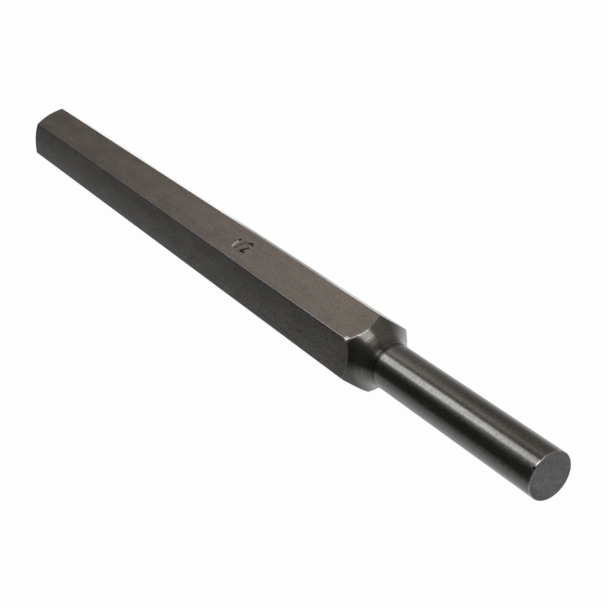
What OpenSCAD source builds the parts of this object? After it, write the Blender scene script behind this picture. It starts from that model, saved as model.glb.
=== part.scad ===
// Pin punch, turned and ground from one length of hexagon bar. The bar's end is
// struck with a hammer, and the round pin at the other end drives a pin out of its hole.
// The lathe leaves the shoulder a slope, a hollow and a short neck that runs down to the pin.
// X runs along the punch towards the tip, Z is up, and the punch lies on one of its flats.

/* [Hexagon bar] */
// Length of the whole punch, from the struck face to the tip face
overall_length = 266.7; // [180:0.1:400]
// Width of the bar across two opposite flats
across_flats = 19.05; // [17:0.05:28]
// Radius of the bar's six drawn edges
edge_radius = 0.4; // [0.2:0.05:1.5]

/* [Struck end] */
// Distance from a flat in to the rim of the struck face
struck_rim_inset = 0.5; // [0.2:0.05:2]
// Angle between the struck end's turned bevel and the axis
struck_bevel_angle = 44; // [30:1:60]

/* [Shoulder] */
// Angle between the shoulder's turned slope and the axis
shoulder_angle = 45; // [35:1:50]
// Radius of the hollow between the slope and the neck
hollow_radius = 8.5; // [2:0.1:10]
// Angle between the neck and the axis
neck_angle = 8; // [3:0.5:12]
// Length of the neck along the axis, from the hollow to the pin
neck_length = 1.7; // [0.5:0.1:3]

/* [Pin] */
// Size of the pins that the punch drives, which is also the size of their hole
driven_pin_size = 12.7; // [10:0.05:14]
// How much thinner than its hole the pin is ground, across the diameter
hole_clearance = 0.3; // [0.1:0.05:0.6]
// Length of the straight pin, from the end of the neck to the tip face
pin_length = 56.2; // [20:0.1:90]
// Width of the ground break at the tip's edge
tip_break = 0.15; // [0.1:0.05:1]

/* [Hidden] */

bar_sides = 6;
right_angle = 90;
corner_angle = 360 / bar_sides;
round_steps = 96;

flat_distance = across_flats / 2;
corner_distance = flat_distance / cos(corner_angle / 2);
pin_diameter = driven_pin_size - hole_clearance;
pin_radius = pin_diameter / 2;

// The edges' rounds stand this far proud of the flats, which trim them to a faint crease
edge_crease = 0.004;
edge_centre = corner_distance - (edge_radius - edge_crease) / cos(corner_angle / 2);
edge_cut_distance = edge_centre + edge_radius * cos(corner_angle / 2);

// Radius at which the turned surfaces run out past the bar's sharp corners
runout_radius = corner_distance + edge_radius;

// Struck end: its face and its bevel, measured along the axis from the face
struck_face_radius = flat_distance - struck_rim_inset;
struck_bevel_end = (runout_radius - struck_face_radius) / tan(struck_bevel_angle);

// How far the hollow's cut bites into the slope and the neck, so that they meet in faint creases
hollow_bite = 0.002;
hollow_depth = hollow_radius - hollow_bite;

// Shoulder, worked back from the pin: the neck, the hollow's centre, and the slope nearly tangent to it
pin_start = overall_length - pin_length;
neck_start = pin_start - neck_length;
neck_start_radius = pin_radius + neck_length * tan(neck_angle);
hollow_centre = neck_start + hollow_depth * sin(neck_angle);
hollow_centre_radius = neck_start_radius + hollow_depth * cos(neck_angle);
slope_end = hollow_centre - hollow_depth * sin(shoulder_angle);
slope_end_radius = hollow_centre_radius - hollow_depth * cos(shoulder_angle);
slope_start = slope_end - (runout_radius - slope_end_radius) / tan(shoulder_angle);

// The bar's section: a hexagon whose corners are cut off and filled again with rounds
module bar_section() {
    intersection() {
        circle(r = corner_distance, $fn = bar_sides);
        union() {
            rotate(corner_angle / 2)
                circle(r = edge_cut_distance / cos(corner_angle / 2), $fn = bar_sides);
            for (i = [0 : bar_sides - 1])
                rotate(i * corner_angle)
                translate([edge_centre, 0])
                circle(r = edge_radius, $fn = round_steps);
        }
    }
}

// Half section of everything the lathe and the grinder leave, radius first and then axis
module turned_section() {
    difference() {
        polygon([
            [0, 0],
            [struck_face_radius, 0],
            [runout_radius, struck_bevel_end],
            [runout_radius, slope_start],
            [slope_end_radius, slope_end],
            [hollow_centre_radius, hollow_centre],
            [neck_start_radius, neck_start],
            [pin_radius, pin_start],
            [pin_radius, overall_length - tip_break],
            [pin_radius - tip_break, overall_length],
            [0, overall_length]
        ]);
        translate([hollow_centre_radius, hollow_centre])
            circle(r = hollow_radius, $fn = round_steps);
    }
}

module punch() {
    color([0.20, 0.18, 0.165])
    translate([-overall_length / 2, 0, flat_distance])
    rotate([0, right_angle, 0])
    intersection() {
        rotate(corner_angle / 2)
            linear_extrude(height = overall_length) bar_section();
        rotate_extrude($fn = round_steps) turned_section();
    }
}

punch();
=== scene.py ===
"""A pin punch turned from hexagon bar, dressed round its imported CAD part. Metres, +X to the tip, Z up."""

from math import cos, pi, radians, sin, sqrt, tan

import bmesh
import bpy
from mathutils import Matrix, Quaternion, Vector


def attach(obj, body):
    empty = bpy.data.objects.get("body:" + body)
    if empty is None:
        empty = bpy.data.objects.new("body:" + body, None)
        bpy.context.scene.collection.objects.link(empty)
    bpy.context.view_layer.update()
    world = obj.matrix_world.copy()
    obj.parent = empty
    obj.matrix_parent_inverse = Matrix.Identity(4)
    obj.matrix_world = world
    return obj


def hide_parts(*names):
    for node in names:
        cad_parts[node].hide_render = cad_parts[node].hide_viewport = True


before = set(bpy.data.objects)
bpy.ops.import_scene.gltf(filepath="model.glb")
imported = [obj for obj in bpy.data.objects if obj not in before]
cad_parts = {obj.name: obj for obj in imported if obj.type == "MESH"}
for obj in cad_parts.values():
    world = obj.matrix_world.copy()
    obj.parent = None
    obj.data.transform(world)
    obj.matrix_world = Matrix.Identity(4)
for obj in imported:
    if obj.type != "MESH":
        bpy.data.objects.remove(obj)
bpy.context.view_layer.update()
scene = bpy.context.scene


# The camera looks down at the punch from beyond its tip, with the far end up on the left.
# It turns round a point beside the middle of the bar, and it is rolled to lay the punch across the picture.
MM = 0.001
AIM = Vector((15.771, 7.638, -6.327)) * MM
DISTANCE = 367.109 * MM
AZIMUTH = -20.517
ELEVATION = 37.34
ROLL = radians(-23.659)
VIEW_ANGLE = radians(27.726)
CLIP_START = 10 * MM


def direction(azimuth, elevation):
    """The way to a compass angle, counted from +X towards +Y, and a height, both in degrees."""
    round_z = radians(azimuth)
    up = radians(elevation)
    return Vector((cos(round_z) * cos(up), sin(round_z) * cos(up), sin(up)))


towards_camera = direction(AZIMUTH, ELEVATION)
level = (-towards_camera).to_track_quat("-Z", "Y")
rolled = level @ Quaternion((0, 0, 1), ROLL)
camera = bpy.data.objects.new("camera", bpy.data.cameras.new("camera"))
camera.matrix_world = Matrix.Translation(AIM + towards_camera * DISTANCE) @ rolled.to_matrix().to_4x4()
camera.data.sensor_fit = "HORIZONTAL"
camera.data.angle = VIEW_ANGLE
camera.data.clip_start = CLIP_START
scene.collection.objects.link(camera)
scene.camera = camera


# The punch is one bar of drawn hexagon steel. A lathe cuts its shoulder and its struck end's bevel,
# a grinder finishes the pin, and an oxide bath blackens the whole. Its skin is laid down along the
# tool's path from one face's middle to the other's, at every angle round the axis.
class Socket:
    """One output of a node. Operators on it add Math nodes to its tree."""

    def __init__(self, output):
        self.output = output

    def __getitem__(self, name):
        return Socket(self.output.node.outputs[name])

    def math(self, operation, *values):
        """A Math node in this socket's tree, on one value or two."""
        named = dict(zip(("Value", "Value_001"), values))
        return add_node(self.output.id_data, "ShaderNodeMath", {"operation": operation}, **named)

    def __add__(self, other):
        return self.math("ADD", self, other)

    def __radd__(self, other):
        return self.math("ADD", other, self)

    def __sub__(self, other):
        return self.math("SUBTRACT", self, other)

    def __rsub__(self, other):
        return self.math("SUBTRACT", other, self)

    def __mul__(self, other):
        return self.math("MULTIPLY", self, other)

    def __rmul__(self, other):
        return self.math("MULTIPLY", other, self)

    def __truediv__(self, other):
        return self.math("DIVIDE", self, other)

    def __rtruediv__(self, other):
        return self.math("DIVIDE", other, self)

    def __pow__(self, other):
        return self.math("POWER", self, other)

    def __mod__(self, other):
        return self.math("FLOORED_MODULO", self, other)

    def __lt__(self, other):
        return self.math("LESS_THAN", self, other)

    def __gt__(self, other):
        return self.math("GREATER_THAN", self, other)

    def __abs__(self):
        return self.math("ABSOLUTE", self)

    def sin(self):
        return self.math("SINE", self)

    def cos(self):
        return self.math("COSINE", self)

    def tan(self):
        return self.math("TANGENT", self)

    def root(self):
        return self.math("SQRT", self)

    def floor(self):
        return self.math("FLOOR", self)

    def exp(self):
        return self.math("EXPONENT", self)

    def clamp(self):
        added = self.math("ADD", self, 0.0)
        added.output.node.use_clamp = True
        return added

    def least(self, other):
        return self.math("MINIMUM", self, other)

    def most(self, other):
        return self.math("MAXIMUM", self, other)

    def step(self, low, high):
        """0 below low, 1 above high, and smooth between them."""
        return add_node(
            self.output.id_data,
            "ShaderNodeMapRange",
            {"interpolation_type": "SMOOTHSTEP"},
            Value=self,
            From_Min=low,
            From_Max=high,
        )

    def between(self, rise=None, fall=None):
        """1 between a rise and a fall, and 0 outside. Each is a pair that is crossed smoothly, or None."""
        risen = self.step(*rise) if rise else 1.0
        return risen * (1 - self.step(*fall)) if fall else risen


def add_node(tree, kind, settings=None, **sockets):
    """Adds a node: its settings first, then its sockets' values or links, with _ for a space in a name."""
    added = tree.nodes.new(kind)
    for name, value in (settings or {}).items():
        setattr(added, name, value)
    for name, value in sockets.items():
        wanted = (name.replace("_", " "), name)
        socket = next(s for s in added.inputs if s.enabled and (s.name in wanted or s.identifier in wanted))
        if isinstance(value, Socket):
            tree.links.new(value.output, socket)
        else:
            socket.default_value = value
    return Socket(next(s for s in added.outputs if s.enabled)) if added.outputs else added


def mixed(tree, factor, under, over):
    """The colour under, with the colour over laid on it as far as the factor says."""
    return add_node(tree, "ShaderNodeMix", {"data_type": "RGBA"}, Factor=factor, A=under, B=over)


def scaled(tree, colour, amount):
    """The colour, so many times as bright."""
    return add_node(tree, "ShaderNodeVectorMath", {"operation": "SCALE"}, Vector=colour, Scale=amount)


LENGTH = 266.7 * MM
ACROSS_FLATS = 19.05 * MM
EDGE_RADIUS = 0.4 * MM
STRUCK_FACE_RADIUS = ACROSS_FLATS / 2 - 0.5 * MM
BEVEL_ANGLE = radians(44)
SLOPE_ANGLE = radians(45)
HOLLOW_RADIUS = 8.5 * MM
NECK_ANGLE = radians(8)
NECK_LENGTH = 1.7 * MM
NECK_ROUND = 0.3 * MM
PIN_RADIUS = 6.2 * MM
PIN_LENGTH = 56.2 * MM
TIP_BREAK = 0.15 * MM
RIM_ROUND = 0.15 * MM
ARRIS_ROUND = 0.2 * MM
TIP_ROUND = 0.1 * MM
SUPPORT = 0.03 * MM
SEAM_GAP = 0.0005 * MM

SIDES = 6
EDGE_STEPS = 10
FLAT_STEPS = 26
SIDE_STEPS = EDGE_STEPS + FLAT_STEPS + 2

punch_tree = bpy.data.node_groups.new("punch_from_hexagon_bar", "GeometryNodeTree")
punch_tree.is_modifier = True
punch_tree.interface.new_socket("Geometry", in_out="OUTPUT", socket_type="NodeSocketGeometry")
sizes = {
    "Length": LENGTH,
    "Across flats": ACROSS_FLATS,
    "Edge radius": EDGE_RADIUS,
    "Struck face radius": STRUCK_FACE_RADIUS,
    "Bevel angle": BEVEL_ANGLE,
    "Slope angle": SLOPE_ANGLE,
    "Hollow radius": HOLLOW_RADIUS,
    "Neck angle": NECK_ANGLE,
    "Neck length": NECK_LENGTH,
    "Neck round": NECK_ROUND,
    "Pin radius": PIN_RADIUS,
    "Pin length": PIN_LENGTH,
    "Tip break": TIP_BREAK,
    "Rim round": RIM_ROUND,
    "Arris round": ARRIS_ROUND,
    "Tip round": TIP_ROUND,
}
inputs = {}
for name, value in sizes.items():
    socket = punch_tree.interface.new_socket(name, in_out="INPUT", socket_type="NodeSocketFloat")
    socket.default_value = value
    inputs[name] = socket.identifier
finish_input = punch_tree.interface.new_socket("Finish", in_out="INPUT", socket_type="NodeSocketMaterial")
size = add_node(punch_tree, "NodeGroupInput")

legs = 8
straight_steps = (6, 3, 44, 6, 6, 34, 2, 6)
round_steps = (6, 6, 6, 28, 5, 5, 5)
stations = sum(straight_steps) + 2 * legs + sum(round_steps)
columns = SIDES * SIDE_STEPS

sheet = add_node(
    punch_tree,
    "GeometryNodeMeshGrid",
    Size_X=float(stations),
    Size_Y=float(columns),
    Vertices_X=stations + 1,
    Vertices_Y=columns + 1,
)
place = add_node(punch_tree, "GeometryNodeInputPosition")
place = add_node(punch_tree, "ShaderNodeSeparateXYZ", Vector=place)
station = place["X"].math("ROUND", place["X"] + stations / 2)
column = place["Y"].math("ROUND", place["Y"] + columns / 2)

# Round the bar: each side is an edge's round, then a flat between two narrow bands that keep it flat
flat_distance = size["Across flats"] / 2
edge_centre = (flat_distance - size["Edge radius"]) / cos(pi / SIDES)
flat_reach = (edge_centre * sin(pi / SIDES)).math("ARCTAN2", edge_centre * sin(pi / SIDES), flat_distance)
edge_reach = pi / SIDES - flat_reach
band = SUPPORT / flat_distance
step = column % SIDE_STEPS
angle = (
    (column / SIDE_STEPS).floor() * (2 * pi / SIDES)
    - edge_reach
    + 2 * edge_reach * (step / EDGE_STEPS).clamp()
    + band * (step - EDGE_STEPS).clamp()
    + 2 * (flat_reach - band) * ((step - EDGE_STEPS - 1) / FLAT_STEPS).clamp()
    + band * (step - EDGE_STEPS - 1 - FLAT_STEPS).clamp()
)
from_corner = angle.math("PINGPONG", angle, pi / SIDES)
on_edge = from_corner < edge_reach
round_height = (size["Edge radius"] ** 2 - (edge_centre * from_corner.sin()) ** 2).most(0.0).root()
edge_height = edge_centre * from_corner.cos() + round_height
flat_height = flat_distance / (pi / SIDES - from_corner).cos()
bar_radius = on_edge * edge_height + (1 - on_edge) * flat_height

# Along the tool's path: eight straight legs with seven rounds between them. A leg's length is taken
# from corner to corner, before the rounds cut it short
struck_radius = size["Struck face radius"]
bevel_rise = bar_radius - struck_radius
hollow_reach = size["Hollow radius"] * ((size["Slope angle"] - size["Neck angle"]) / 2).tan()
neck_leg = size["Neck length"] / size["Neck angle"].cos() + hollow_reach
slope_fall = bar_radius - size["Pin radius"] - neck_leg * size["Neck angle"].sin()
pin_start = size["Length"] - size["Pin length"]
slope_foot = pin_start - neck_leg * size["Neck angle"].cos()
bevel_run = bevel_rise / size["Bevel angle"].tan()
slope_run = slope_fall / size["Slope angle"].tan()
headings = (
    pi / 2,
    size["Bevel angle"],
    0.0,
    -1 * size["Slope angle"],
    -1 * size["Neck angle"],
    0.0,
    -pi / 4,
    -pi / 2,
)
leg_lengths = (
    struck_radius,
    bevel_rise / size["Bevel angle"].sin(),
    slope_foot - slope_run - bevel_run,
    slope_fall / size["Slope angle"].sin(),
    neck_leg,
    size["Pin length"] - size["Tip break"],
    size["Tip break"] * sqrt(2),
    size["Pin radius"] - size["Tip break"],
)
rounds = (
    size["Rim round"],
    size["Arris round"],
    size["Arris round"],
    size["Hollow radius"],
    size["Neck round"],
    size["Tip round"],
    size["Tip round"],
)
BEVEL_ARRIS = 1
SLOPE_ARRIS = 2
HOLLOW = 3
NECK = 4


def sine(heading):
    """The sine of a heading that is a socket or a plain number."""
    return heading.sin() if isinstance(heading, Socket) else sin(heading)


def cosine(heading):
    """The cosine of a heading that is a socket or a plain number."""
    return heading.cos() if isinstance(heading, Socket) else cos(heading)


cuts = [0.0]
for k, radius in enumerate(rounds):
    turn = headings[k + 1] - headings[k]
    half_turn = turn / 2 if k in (HOLLOW, NECK) else -1 * turn / 2
    cuts.append(radius * (half_turn.tan() if isinstance(half_turn, Socket) else tan(half_turn)))
cuts.append(0.0)
along = -1 * size["Length"] / 2
out = 0.0
start = 0
starts = []
for k in range(legs):
    middle = leg_lengths[k] - cuts[k] - cuts[k + 1] - 2 * SUPPORT
    reached = (
        SUPPORT * (station - start).clamp()
        + middle * ((station - start - 1) / straight_steps[k]).clamp()
        + SUPPORT * (station - start - 1 - straight_steps[k]).clamp()
    )
    along = along + reached * cosine(headings[k])
    out = out + reached * sine(headings[k])
    start += straight_steps[k] + 2
    if k == legs - 1:
        break
    starts.append(start)
    way = 1 if k in (HOLLOW, NECK) else -1
    turn = headings[k + 1] - headings[k]
    heading = headings[k] + turn * ((station - start) / round_steps[k]).clamp()
    along = along + (heading.sin() - sine(headings[k])) * rounds[k] * way
    out = out - (heading.cos() - cosine(headings[k])) * rounds[k] * way
    start += round_steps[k]

rolled_up = add_node(
    punch_tree,
    "ShaderNodeCombineXYZ",
    X=along,
    Y=out * angle.cos(),
    Z=out * angle.sin() + flat_distance,
)

# Marks for the finish: where the lathe cut, where the grinder went, and the worn edges between them
ground = ((station - starts[NECK]) / round_steps[NECK]).clamp()
lathe_cut = ((station - starts[SLOPE_ARRIS]) / round_steps[SLOPE_ARRIS]).clamp() - ground
lathe_cut = lathe_cut + 1 - ((station - starts[BEVEL_ARRIS]) / round_steps[BEVEL_ARRIS]).clamp()
worn = 0.0
for k, steps in enumerate(round_steps):
    if k not in (HOLLOW, NECK):
        worn = (1 - abs(station - starts[k] - steps / 2) / (steps / 2 + 1)).clamp() + worn
marked = sheet
for name, mark in (("lathe_cut", lathe_cut), ("ground", ground), ("worn", worn)):
    marked = add_node(punch_tree, "GeometryNodeStoreNamedAttribute", Geometry=marked, Name=name, Value=mark)

skin = add_node(punch_tree, "GeometryNodeSetPosition", Geometry=marked, Position=rolled_up)
skin = add_node(punch_tree, "GeometryNodeMergeByDistance", Geometry=skin, Distance=SEAM_GAP)
skin = add_node(punch_tree, "GeometryNodeSetShadeSmooth", Geometry=skin, Shade_Smooth=True)
skin = add_node(punch_tree, "GeometryNodeRealizeInstances", Geometry=skin)
skin = add_node(punch_tree, "GeometryNodeSetMaterial", Geometry=skin, Material=size["Finish"])
add_node(punch_tree, "NodeGroupOutput", Geometry=skin)

blackened = bpy.data.materials.new("blackened_steel")
blackened.use_nodes = True
blank = bpy.data.meshes.new("punch_blank")
maker = bpy.data.objects.new("punch_maker", blank)
scene.collection.objects.link(maker)
modifier = maker.modifiers.new("bar_to_punch", "NODES")
modifier.node_group = punch_tree
for name, identifier in inputs.items():
    modifier[identifier] = sizes[name]
modifier[finish_input.identifier] = blackened
evaluated = maker.evaluated_get(bpy.context.evaluated_depsgraph_get())
punch_mesh = bpy.data.meshes.new_from_object(evaluated)
bpy.data.objects.remove(maker)
punch = bpy.data.objects.new("punch_steel", punch_mesh)
scene.collection.objects.link(punch)

# The punch's size is struck into the top flat with a hand stamp. Each stroke is a groove, cut by a tube of
# diamond section, and it is drawn on a grid where 1 is the mark's height
MARK_AT = (8.7 * MM, 0.1 * MM)
MARK_TURN = radians(5)
MARK_HEIGHT = 3.9 * MM
MARK_DEPTH = 0.42 * MM
MARK_LIFT = 0.02 * MM
MARK_WIDTH = 1.72
BOWL_MIDDLE = (1.42, 0.73)
BOWL_RADIUS = 0.27
BOWL_TURNS = range(10, 215, 25)
bowl = [
    (BOWL_MIDDLE[0] - BOWL_RADIUS * cos(radians(turn)), BOWL_MIDDLE[1] + BOWL_RADIUS * sin(radians(turn)))
    for turn in BOWL_TURNS
]
strokes = (
    ((0.03, 0.74), (0.19, 0.96)),
    ((0.17, 0.94), (0.08, 0.08)),
    ((0.45, 0.02), (0.88, 0.98)),
    (*bowl, (1.16, 0.03)),
    ((1.12, 0.04), (MARK_WIDTH, 0.03)),
)
mark = bpy.data.curves.new("size_mark", "CURVE")
mark.dimensions = "3D"
mark.bevel_depth = MARK_DEPTH
mark.bevel_resolution = 0
mark.use_fill_caps = True
for stroke in strokes:
    spline = mark.splines.new("POLY")
    spline.points.add(len(stroke) - 1)
    for point, (across, up) in zip(spline.points, stroke):
        x = (across - MARK_WIDTH / 2) * MARK_HEIGHT
        y = (up - 0.5) * MARK_HEIGHT
        point.co = (
            MARK_AT[0] + x * cos(MARK_TURN) - y * sin(MARK_TURN),
            MARK_AT[1] + x * sin(MARK_TURN) + y * cos(MARK_TURN),
            ACROSS_FLATS + MARK_LIFT,
            1.0,
        )
mark_curve = bpy.data.objects.new("size_mark", mark)
scene.collection.objects.link(mark_curve)
evaluated = mark_curve.evaluated_get(bpy.context.evaluated_depsgraph_get())
mark_mesh = bpy.data.meshes.new_from_object(evaluated)
bpy.data.objects.remove(mark_curve)

# A nick in the rim of the tip, left by use, is cut at the same time, by a ball just outside the rim
NICK_RADIUS = 0.4 * MM
NICK_ANGLE = radians(120)
NICK_WAY = Vector((0, cos(NICK_ANGLE), sin(NICK_ANGLE)))
NICK_BACK = 0.3 * MM
NICK_OUT = 0.2 * MM
NICK_AT = Vector((LENGTH / 2 - NICK_BACK, 0, ACROSS_FLATS / 2)) + NICK_WAY * (PIN_RADIUS + NICK_OUT)
WELD = 1e-4 * MM
SHARP_ANGLE = radians(32)
cutter = bmesh.new()
cutter.from_mesh(mark_mesh)
bmesh.ops.remove_doubles(cutter, verts=cutter.verts, dist=WELD)
bmesh.ops.create_icosphere(cutter, subdivisions=2, radius=NICK_RADIUS, matrix=Matrix.Translation(NICK_AT))
cutter.to_mesh(mark_mesh)
cutter.free()
mark_tool = bpy.data.objects.new("size_mark_tool", mark_mesh)
scene.collection.objects.link(mark_tool)
struck = punch.modifiers.new("struck_mark", "BOOLEAN")
struck.operation = "DIFFERENCE"
struck.solver = "EXACT"
struck.use_self = True
struck.object = mark_tool
evaluated = punch.evaluated_get(bpy.context.evaluated_depsgraph_get())
stamped = bpy.data.meshes.new_from_object(evaluated)
punch.modifiers.remove(struck)
bpy.data.objects.remove(mark_tool)
punch.data = stamped
bpy.data.meshes.remove(punch_mesh)
stamped.name = "punch_steel"
stamped.materials.clear()
stamped.materials.append(blackened)
stamped.set_sharp_from_angle(angle=SHARP_ANGLE)

# The black oxide over it is rose and olive on the drawn flats, ringed by the lathe on the shoulder and the
# struck end, streaked on the ground pin, and rubbed thin along the edges. Painted light and shade and
# painted glints are laid over it too
BAR_ROSE = (0.120, 0.105, 0.101, 1)
BAR_OLIVE = (0.111, 0.108, 0.100, 1)
CUT_BLACK = (0.109, 0.108, 0.1025, 1)
GROUND_BLACK = (0.0925, 0.092, 0.0885, 1)
TIP_BLACK = (0.092, 0.093, 0.094, 1)
RUBBED_STEEL_AND_GLINTS = (0.45, 0.443, 0.435, 1)
BAR_ROUGHNESS = 0.24
CUT_ROUGHNESS = 0.205
GROUND_ROUGHNESS = 0.205
BUMP_DEPTH = 0.02 * MM
NOISE_ROUGHNESS = 0.6

shader = blackened.node_tree
shader.nodes.clear()
spot = add_node(shader, "ShaderNodeTexCoord")["Object"]
spot_parts = add_node(shader, "ShaderNodeSeparateXYZ", Vector=spot)
x = spot_parts["X"]
y = spot_parts["Y"]
z = spot_parts["Z"]
off_axis = (y ** 2 + (z - ACROSS_FLATS / 2) ** 2).root()
far_side = y / off_axis
cut = add_node(shader, "ShaderNodeAttribute", {"attribute_name": "lathe_cut"})["Fac"]
ground = add_node(shader, "ShaderNodeAttribute", {"attribute_name": "ground"})["Fac"]
worn = add_node(shader, "ShaderNodeAttribute", {"attribute_name": "worn"})["Fac"]
drawn = (1 - cut - ground).clamp()


def noise(place, detail):
    """Noise from -1 to 1."""
    made = add_node(
        shader,
        "ShaderNodeTexNoise",
        Vector=place,
        Scale=1.0,
        Detail=detail,
        Roughness=NOISE_ROUGHNESS,
    )
    return (made - 0.5) * 2


def speckle(along, across, detail, offset):
    """Noise whose grains are so long along the punch and so wide across it."""
    stretched = add_node(
        shader,
        "ShaderNodeVectorMath",
        {"operation": "MULTIPLY_ADD"},
        Vector=spot,
        Vector_001=(1 / along, 1 / across, 1 / across),
        Vector_002=(offset, offset, offset),
    )
    return noise(stretched, detail)


blotches = speckle(along=9 * MM, across=4 * MM, detail=3.0, offset=3.1)
mottle = speckle(along=6 * MM, across=3 * MM, detail=1.0, offset=4.4)
grain = speckle(along=0.55 * MM, across=0.5 * MM, detail=2.0, offset=8.7)
drawn_lines = speckle(along=30 * MM, across=0.35 * MM, detail=2.0, offset=5.3)
streaks = speckle(along=26 * MM, across=1.6 * MM, detail=2.0, offset=1.9)
ground_lines = speckle(along=0.3 * MM, across=2.5 * MM, detail=2.0, offset=6.5)

# The lathe's marks run round the axis: uneven rings, and the even step of its feed. They are counted along
# the axis and inwards at once, so that they cross a steep surface too
RING_WIDTH = 0.45 * MM
RING_DETAIL = 2.0
FEED = 0.7 * MM
FEED_WANDER = 1.5
tool_way = x - off_axis * x.math("SIGN", x)
rings = noise(add_node(shader, "ShaderNodeCombineXYZ", X=tool_way / RING_WIDTH), RING_DETAIL)
feed_marks = (tool_way * (2 * pi / FEED) + FEED_WANDER * rings).sin()

# Where each surface lies, worked back from the tip. A pair is an edge that is crossed smoothly. Round the
# axis the far side counts 0 at the top and 1 at its widest. The slope takes in the struck end's bevel and
# face, which get its painted light and shade too
TIP_FACE = LENGTH / 2 - 0.03 * MM
PIN_RIM = LENGTH / 2 - 0.36 * MM
PIN_END_HALF = (92 * MM, 118 * MM)
PIN_TOP_RISE = (0.02, 0.15)
PIN_TOP_FALL = (0.45, 0.62)
NECK_START = LENGTH / 2 - PIN_LENGTH - NECK_LENGTH
HOLLOW_MIDDLE = NECK_START - 2.5 * MM
FAR_NECK_START = HOLLOW_MIDDLE - 1.5 * MM
FAR_NECK_RISE = (0.35, 0.75)
FAR_NECK_EDGE = (0.85, 1.0)
SLOPE_END = HOLLOW_MIDDLE - 2.6 * MM
SLOPE_FADE = 1.5 * MM
FAR_SLOPE_EDGE = (0.9, 1.0)
TOP_SKIN = 0.2 * MM
NICK_EDGE = 0.02 * MM
on_top = z > ACROSS_FLATS - TOP_SKIN
upper_half = z > ACROSS_FLATS / 2
tip_face = x > TIP_FACE
slope = cut * (1 - x.step(SLOPE_END, SLOPE_END + SLOPE_FADE))
hollow = cut - slope
neck = cut * x.step(HOLLOW_MIDDLE, NECK_START)
far_neck = cut * x.step(FAR_NECK_START, NECK_START) * far_side.step(*FAR_NECK_RISE)
pin_top = ground * (1 - tip_face) * upper_half * far_side.between(PIN_TOP_RISE, PIN_TOP_FALL)
measure = {"operation": "DISTANCE"}
from_nick = add_node(shader, "ShaderNodeVectorMath", measure, Vector=spot, Vector_001=NICK_AT)["Value"]
in_nick = from_nick < NICK_RADIUS + NICK_EDGE

# How light the black is: first each surface's texture, with how much of each pattern it takes, then painted
# light and shade: the slope lighter on its far side and darker on its near side, and painted shade in the
# neck, on the neck's far side, on the pin's top towards the tip and in the nick
BAR_BLOTCHES = 0.34
BAR_GRAIN = 1.0
TOP_LESS_GRAIN = 0.4
BAR_LINES = 0.2
CUT_GRAIN = 0.25
CUT_RINGS = 0.5
HOLLOW_MORE_RINGS = 0.5
CUT_FEED_MARKS = 0.08
PIN_STREAKS = 0.34
PIN_GRAIN = 0.55
PIN_LINES = 0.3
SLOPE_SIDE_PAINTED_LIGHT = 0.3
FAR_SLOPE_PAINTED_LIGHT = 0.45
NECK_PAINTED_SHADE = 0.46
FAR_NECK_PAINTED_SHADE = 0.2
FAR_NECK_EDGE_SPARED = 0.6
PIN_TOP_PAINTED_SHADE = 0.28
NICK_PAINTED_SHADE = 0.7
DARKEST = 0.1
bar_grain = (BAR_GRAIN - TOP_LESS_GRAIN * on_top) * grain
tone = 1 + drawn * (BAR_BLOTCHES * blotches + bar_grain + BAR_LINES * drawn_lines)
tone = tone + cut * (CUT_GRAIN * grain + CUT_RINGS * rings + CUT_FEED_MARKS * feed_marks)
tone = tone + HOLLOW_MORE_RINGS * hollow * rings
tone = tone + ground * (PIN_STREAKS * streaks + PIN_GRAIN * grain + PIN_LINES * ground_lines)
# Painted light and shade: the slope is lighter on its far side and darker on its near side
tone = tone + slope * (SLOPE_SIDE_PAINTED_LIGHT * far_side + FAR_SLOPE_PAINTED_LIGHT * far_side.step(*FAR_SLOPE_EDGE))
# Painted shade: darker in the neck and on its far side, on the pin's top towards the tip, and in the nick
spared = 1 - FAR_NECK_EDGE_SPARED * far_side.step(*FAR_NECK_EDGE)
tone = tone - NECK_PAINTED_SHADE * neck - FAR_NECK_PAINTED_SHADE * far_neck * spared
tone = tone - PIN_TOP_PAINTED_SHADE * pin_top * x.step(*PIN_END_HALF) - NICK_PAINTED_SHADE * in_nick

# The black's colour, with the two colours of the drawn flats in patches
OLIVE_SHARE = 0.8
TOP_LESS_OLIVE = 0.3
PATCH_CONTRAST = 1.2
olive = (OLIVE_SHARE - TOP_LESS_OLIVE * on_top + PATCH_CONTRAST * mottle).clamp()
black = mixed(shader, olive, BAR_ROSE, BAR_OLIVE)
black = mixed(shader, cut, black, CUT_BLACK)
black = mixed(shader, ground, black, GROUND_BLACK)
black = mixed(shader, tip_face, black, TIP_BLACK)
black = scaled(shader, black, tone.most(DARKEST))

# Bare steel shows on the worn rounds and thinly round the tip's rim. At the corner and along the arc where
# the top flat meets the slope on the near side, and in a patch on the tip's rim, it is painted highlight:
# bare steel laid only where the lights glint. Along that arc x and the radius add up to one length
EDGE_WEAR = 0.75
EDGE_WEAR_BLOTCHES = 0.8
EDGE_WEAR_GRAIN = 0.6
CORNER_GLINT = 1.5
CORNER_RADIUS = ACROSS_FLATS / 2 / cos(pi / SIDES)
CORNER_OUT = (CORNER_RADIUS - 0.55 * MM, CORNER_RADIUS - 0.3 * MM)
CORNER_ALONG = (SLOPE_END - 3.6 * MM, SLOPE_END - 2.0 * MM)
CORNER_DOWN = 0.5 * MM
NECK_RUN = NECK_LENGTH + HOLLOW_RADIUS * tan((SLOPE_ANGLE - NECK_ANGLE) / 2) * cos(NECK_ANGLE)
ARC_SUM = LENGTH / 2 - PIN_LENGTH - NECK_RUN + PIN_RADIUS + NECK_RUN * tan(NECK_ANGLE)
ARC_WIDTH = (0.1 * MM, 0.4 * MM)
ARC_END = (-0.38, -0.16)
RIM_WEAR = 0.2
RIM_GLINT = 0.8
RIM_GLINT_SIDE = 0.28
RIM_GLINT_WIDTH = 0.09
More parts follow.
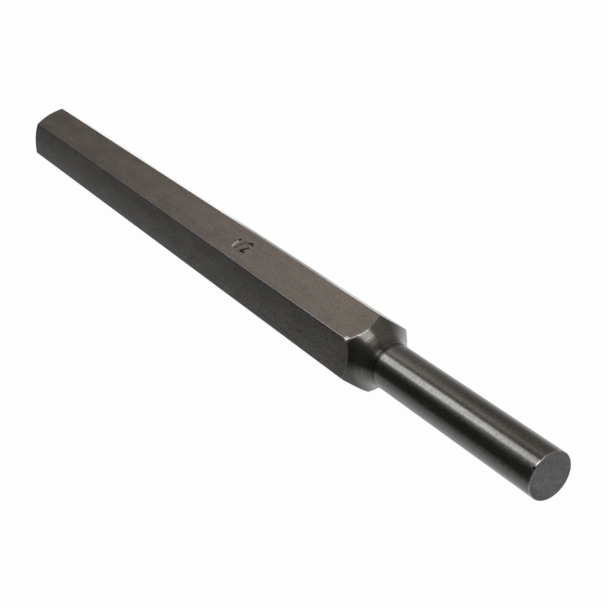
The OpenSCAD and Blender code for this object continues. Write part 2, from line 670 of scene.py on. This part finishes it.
near_corner_glint = off_axis.step(*CORNER_OUT) * x.step(*CORNER_ALONG) * (y < 0.0) * (z > ACROSS_FLATS - CORNER_DOWN)
arc_glint = on_top * (1 - (ARC_SUM - x - off_axis).step(*ARC_WIDTH)) * (1 - far_side.step(*ARC_END))
rim_glint = upper_half * (-1 * ((far_side + RIM_GLINT_SIDE) / RIM_GLINT_WIDTH) ** 2).exp()
pin_rim = ground * (x > PIN_RIM) * (x < TIP_FACE) * (RIM_WEAR + RIM_GLINT * rim_glint)
worn_edges = worn * (EDGE_WEAR + EDGE_WEAR_BLOTCHES * blotches + EDGE_WEAR_GRAIN * grain)
# The worn rounds and the rim's thin band are wear; the corner, the arc and the rim's patch are painted
# glints
rubbed_and_glints = worn_edges + CORNER_GLINT * near_corner_glint + arc_glint + pin_rim
black = mixed(shader, (rubbed_and_glints - in_nick).clamp(), black, RUBBED_STEEL_AND_GLINTS)

# The same patterns vary the roughness and stand in the relief. The lathe's marks are deepest in the hollow
# and fade down to the neck
BLOTCH_ROUGHNESS = 0.05
GRAIN_ROUGHNESS = 0.04
BAR_GRAIN_RELIEF = 0.35
BAR_LINE_RELIEF = 0.25
PIN_GRAIN_RELIEF = 0.15
PIN_LINE_RELIEF = 0.25
RING_RELIEF = 0.55
RING_HOLLOW_MORE = 0.5
RING_NECK_LESS = 0.75
FEED_RELIEF = 0.32
FEED_HOLLOW_MORE = 0.28
FEED_NECK_LESS = 0.15
roughness = drawn * BAR_ROUGHNESS + cut * CUT_ROUGHNESS + ground * GROUND_ROUGHNESS
roughness = roughness + BLOTCH_ROUGHNESS * blotches * drawn + GRAIN_ROUGHNESS * grain
height = drawn * (BAR_GRAIN_RELIEF * grain + BAR_LINE_RELIEF * drawn_lines)
height = height + ground * (PIN_GRAIN_RELIEF * grain + PIN_LINE_RELIEF * ground_lines)
ring_depth = RING_RELIEF * cut + RING_HOLLOW_MORE * hollow - RING_NECK_LESS * neck
feed_depth = FEED_RELIEF * cut + FEED_HOLLOW_MORE * hollow - FEED_NECK_LESS * neck
height = height + ring_depth * rings + feed_depth * feed_marks
relief = add_node(shader, "ShaderNodeBump", Strength=1.0, Distance=BUMP_DEPTH, Height=height)
finish = add_node(
    shader,
    "ShaderNodeBsdfPrincipled",
    Base_Color=black,
    Metallic=1.0,
    Roughness=roughness,
    Normal=relief,
)
add_node(shader, "ShaderNodeOutputMaterial", Surface=finish)

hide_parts("punch")
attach(punch, "root")


# The floor is a sheet of white paper, plain white to the camera, with the punch's faint shadow on it.
# How bright the steel sees it is painted in patches of light and shade. It fades on the camera's side and
# far beyond the bar, is brightest past the bar's struck half, and has painted shade close under the
# shoulder and the pin.
FLOOR_REACH = 3.0
FLOOR_DROP = 0.02 * MM
PAPER = 0.8
PAPER_SEEN = 0.98

floor_mesh = bpy.data.meshes.new("floor")
floor_signs = ((-1, -1), (1, -1), (1, 1), (-1, 1))
floor_corners = [(i * FLOOR_REACH, j * FLOOR_REACH, -FLOOR_DROP) for i, j in floor_signs]
floor_mesh.from_pydata(floor_corners, [], [(0, 1, 2, 3)])
floor = bpy.data.objects.new("floor", floor_mesh)
scene.collection.objects.link(floor)
paper = bpy.data.materials.new("white_paper")
paper.use_nodes = True
paper_tree = paper.node_tree
paper_tree.nodes.clear()
on_floor = add_node(paper_tree, "ShaderNodeTexCoord")["Object"]
on_floor = add_node(paper_tree, "ShaderNodeSeparateXYZ", Vector=on_floor)
to_tip = on_floor["X"]
to_far_side = on_floor["Y"]
to_camera_side = -1 * to_far_side
camera_side = to_far_side < 0.0

# The paper's painted brightness, near the punch and further off. Each pair is an edge that is crossed
# smoothly
NEAR_PAPER = 0.6
NEAR_FADE_START = -20 * MM
NEAR_FADE_LENGTH = 40 * MM
POOL_PAPER = 0.27
POOL_EDGE = (152 * MM, 380 * MM)
POOL_FAR_SIDE = (-40 * MM, -10 * MM)
FAR_PAPER = 0.12
BEYOND_DARKER = 0.45
BEYOND = (20 * MM, 110 * MM)
near = ((to_far_side - NEAR_FADE_START).least(0.0) / NEAR_FADE_LENGTH).exp()
pool = (1 - (to_tip ** 2 + to_far_side ** 2).root().step(*POOL_EDGE)).most(to_far_side.step(*POOL_FAR_SIDE))
beyond = to_far_side.step(*BEYOND)
in_steel = NEAR_PAPER * near + POOL_PAPER * pool + FAR_PAPER - BEYOND_DARKER * beyond

# Painted light past the bar: it is brightest behind the struck half, then dimmer, then brighter again by
# the shoulder
PAST_BAR = (0.0, 12 * MM)
STRUCK_HALF_BRIGHTER = 1.0
STRUCK_HALF_END = (-50 * MM, -24 * MM)
MIDDLE_DIMMER = 0.24
MIDDLE_START = (-42 * MM, -20 * MM)
MIDDLE_END = (6 * MM, 24 * MM)
SHOULDER_BRIGHTER = 0.25
SHOULDER_START = (12 * MM, 28 * MM)
SHOULDER_END = (42 * MM, 60 * MM)
past_bar = to_far_side.step(*PAST_BAR) * (1 - beyond)
struck_half = past_bar * to_tip.between(fall=STRUCK_HALF_END)
middle_part = past_bar * to_tip.between(MIDDLE_START, MIDDLE_END)
shoulder_part = past_bar * to_tip.between(SHOULDER_START, SHOULDER_END)
in_steel = in_steel + STRUCK_HALF_BRIGHTER * struck_half
in_steel = in_steel - MIDDLE_DIMMER * middle_part + SHOULDER_BRIGHTER * shoulder_part

# Painted shade: the bar and the pin shade the paper close to them, and it is darker in three wider patches
BAR_SHADE = 0.18
BAR_SHADE_WIDTH = (9 * MM, 24 * MM)
BAR_SHADE_END = (50 * MM, 75 * MM)
PIN_SHADE = 0.36
PIN_SHADE_LESS = 0.22
PIN_SHADE_WIDTH = (6 * MM, 12 * MM)
PIN_SHADE_START = (60 * MM, 75 * MM)
PIN_SHADE_THINS = (70 * MM, 130 * MM)
PAST_PIN_DARKER = 0.1
PAST_PIN_RISE = (4 * MM, 8 * MM)
PAST_PIN_FALL = (20 * MM, 40 * MM)
PAST_PIN_START = (66 * MM, 80 * MM)
BEHIND_BAR_DARKER = 0.36
BEHIND_BAR_RISE = (18 * MM, 30 * MM)
BEHIND_BAR_FALL = (48 * MM, 62 * MM)
BEHIND_BAR_END = (50 * MM, 62 * MM)
BEFORE_PIN_DARKER = 0.3
BEFORE_PIN_RISE = (34 * MM, 58 * MM)
BEFORE_PIN_START = (64 * MM, 84 * MM)
bar_shade = to_camera_side.between(fall=BAR_SHADE_WIDTH) * camera_side * to_tip.between(fall=BAR_SHADE_END)
pin_shade = to_camera_side.between(fall=PIN_SHADE_WIDTH) * camera_side * to_tip.step(*PIN_SHADE_START)
past_pin = to_far_side.between(PAST_PIN_RISE, PAST_PIN_FALL) * to_tip.step(*PAST_PIN_START)
behind_bar = to_far_side.between(BEHIND_BAR_RISE, BEHIND_BAR_FALL) * to_tip.between(fall=BEHIND_BAR_END)
before_pin = to_camera_side.step(*BEFORE_PIN_RISE) * to_tip.step(*BEFORE_PIN_START)
in_steel = in_steel * (1 - BAR_SHADE * bar_shade)
in_steel = in_steel * (1 - (PIN_SHADE - PIN_SHADE_LESS * to_tip.step(*PIN_SHADE_THINS)) * pin_shade)
in_steel = in_steel * (1 - PAST_PIN_DARKER * past_pin)
in_steel = in_steel * (1 - BEHIND_BAR_DARKER * behind_bar) * (1 - BEFORE_PIN_DARKER * before_pin)

ray = add_node(paper_tree, "ShaderNodeLightPath")
seen_directly = ray["Is Camera Ray"]
seen = seen_directly.most(ray["Is Glossy Ray"]).most(ray["Is Transmission Ray"])
white = seen_directly + (1 - seen_directly) * in_steel
lit_paper = add_node(paper_tree, "ShaderNodeBsdfDiffuse", Color=(PAPER, PAPER, PAPER, 1))
white_paper = add_node(paper_tree, "ShaderNodeEmission", Color=(1, 1, 1, 1), Strength=white)
paper_seen = add_node(
    paper_tree,
    "ShaderNodeMixShader",
    Fac=seen * PAPER_SEEN,
    Shader=lit_paper,
    Shader_001=white_paper,
)
add_node(paper_tree, "ShaderNodeOutputMaterial", Surface=paper_seen)
floor_mesh.materials.append(paper)


# The room round it is pale and warm past the punch's far side, dark on the camera's side, and dimmer low
# down past the tip. Four soft glows stand in it, two beyond the struck end and one by each light. The
# camera sees it all white.
WARM_SIDE = (0.57, 0.52, 0.475, 1)
WARM_END = (0.32, 0.29, 0.265, 1)
DARK_SIDE = (0.125, 0.120, 0.112, 1)
DARK_TO_END = (-0.5, 0.15)
END_TO_WARM = (0.15, 0.75)
PAST_TIP = (-0.4, 0.4)
LOW_WALL_TOP = (0.0, 0.5)
LOW_WALL_DIMMER = 0.4

world = bpy.data.worlds.new("studio")
scene.world = world
world.use_nodes = True
room = world.node_tree
room.nodes.clear()
look = add_node(room, "ShaderNodeTexCoord")["Generated"]
look_parts = add_node(room, "ShaderNodeSeparateXYZ", Vector=look)
warm = look_parts["Y"].step(*DARK_TO_END)
walls = mixed(room, look_parts["Y"].step(*END_TO_WARM), WARM_END, WARM_SIDE)
walls = mixed(room, warm, DARK_SIDE, walls)
low_wall = look_parts["X"].step(*PAST_TIP) * warm * look_parts["Z"].between(fall=LOW_WALL_TOP)
lit_room = scaled(room, walls, 1 - LOW_WALL_DIMMER * low_wall)

# Each glow's compass angle and height in degrees, how sharply it falls off, and its colour
GLOWS = {
    "beyond_struck_end": (156, 38, 75, (1.32, 1.22, 1.11)),
    "beside_it": (138, 37, 50, (0.40, 0.37, 0.34)),
    "spill_of_far_light": (-149, 45.5, 70, (0.88, 0.86, 0.83)),
    "above_near_light": (20, 70, 28, (1.35, 1.32, 1.27)),
}
for azimuth, elevation, sharpness, colour in GLOWS.values():
    way = direction(azimuth, elevation)
    dot = {"operation": "DOT_PRODUCT"}
    towards = add_node(room, "ShaderNodeVectorMath", dot, Vector=look, Vector_001=way)["Value"]
    glow = scaled(room, colour, ((towards - 1) * sharpness).exp())
    added = {"operation": "ADD"}
    lit_room = add_node(room, "ShaderNodeVectorMath", added, Vector=lit_room, Vector_001=glow)
camera_ray = add_node(room, "ShaderNodeLightPath")["Is Camera Ray"]
shown = mixed(room, camera_ray, lit_room, (1, 1, 1, 1))
background = add_node(room, "ShaderNodeBackground", Color=shown, Strength=1.0)
add_node(room, "ShaderNodeOutputWorld", Surface=background)


# Two soft lights stand above the punch and face its shoulder, one beyond each end. The far one shows as a
# streak along the pin, and the near one as a patch on the shoulder.
SHOULDER = Vector((80 * MM, 0, 10 * MM))
LIGHT_DISTANCE = 1.6

# Each light's compass angle and height, the angles it fills across and up, and its radiance
SOFT_LIGHTS = {
    "far_soft_light": (-169.0, 48.1, 21, 21, 4.9),
    "near_soft_light": (13.5, 48.0, 26.5, 13, 6.8),
}
for name, (azimuth, elevation, wide, high, radiance) in SOFT_LIGHTS.items():
    way = direction(azimuth, elevation)
    lamp = bpy.data.lights.new(name, "AREA")
    lamp.shape = "RECTANGLE"
    lamp.size = 2 * LIGHT_DISTANCE * tan(radians(wide) / 2)
    lamp.size_y = 2 * LIGHT_DISTANCE * tan(radians(high) / 2)
    lamp.energy = radiance * pi * lamp.size * lamp.size_y
    light = bpy.data.objects.new(name, lamp)
    turned = way.to_track_quat("Z", "Y").to_matrix().to_4x4()
    light.matrix_world = Matrix.Translation(SHOULDER + way * LIGHT_DISTANCE) @ turned
    scene.collection.objects.link(light)

scene.view_settings.view_transform = "Standard"
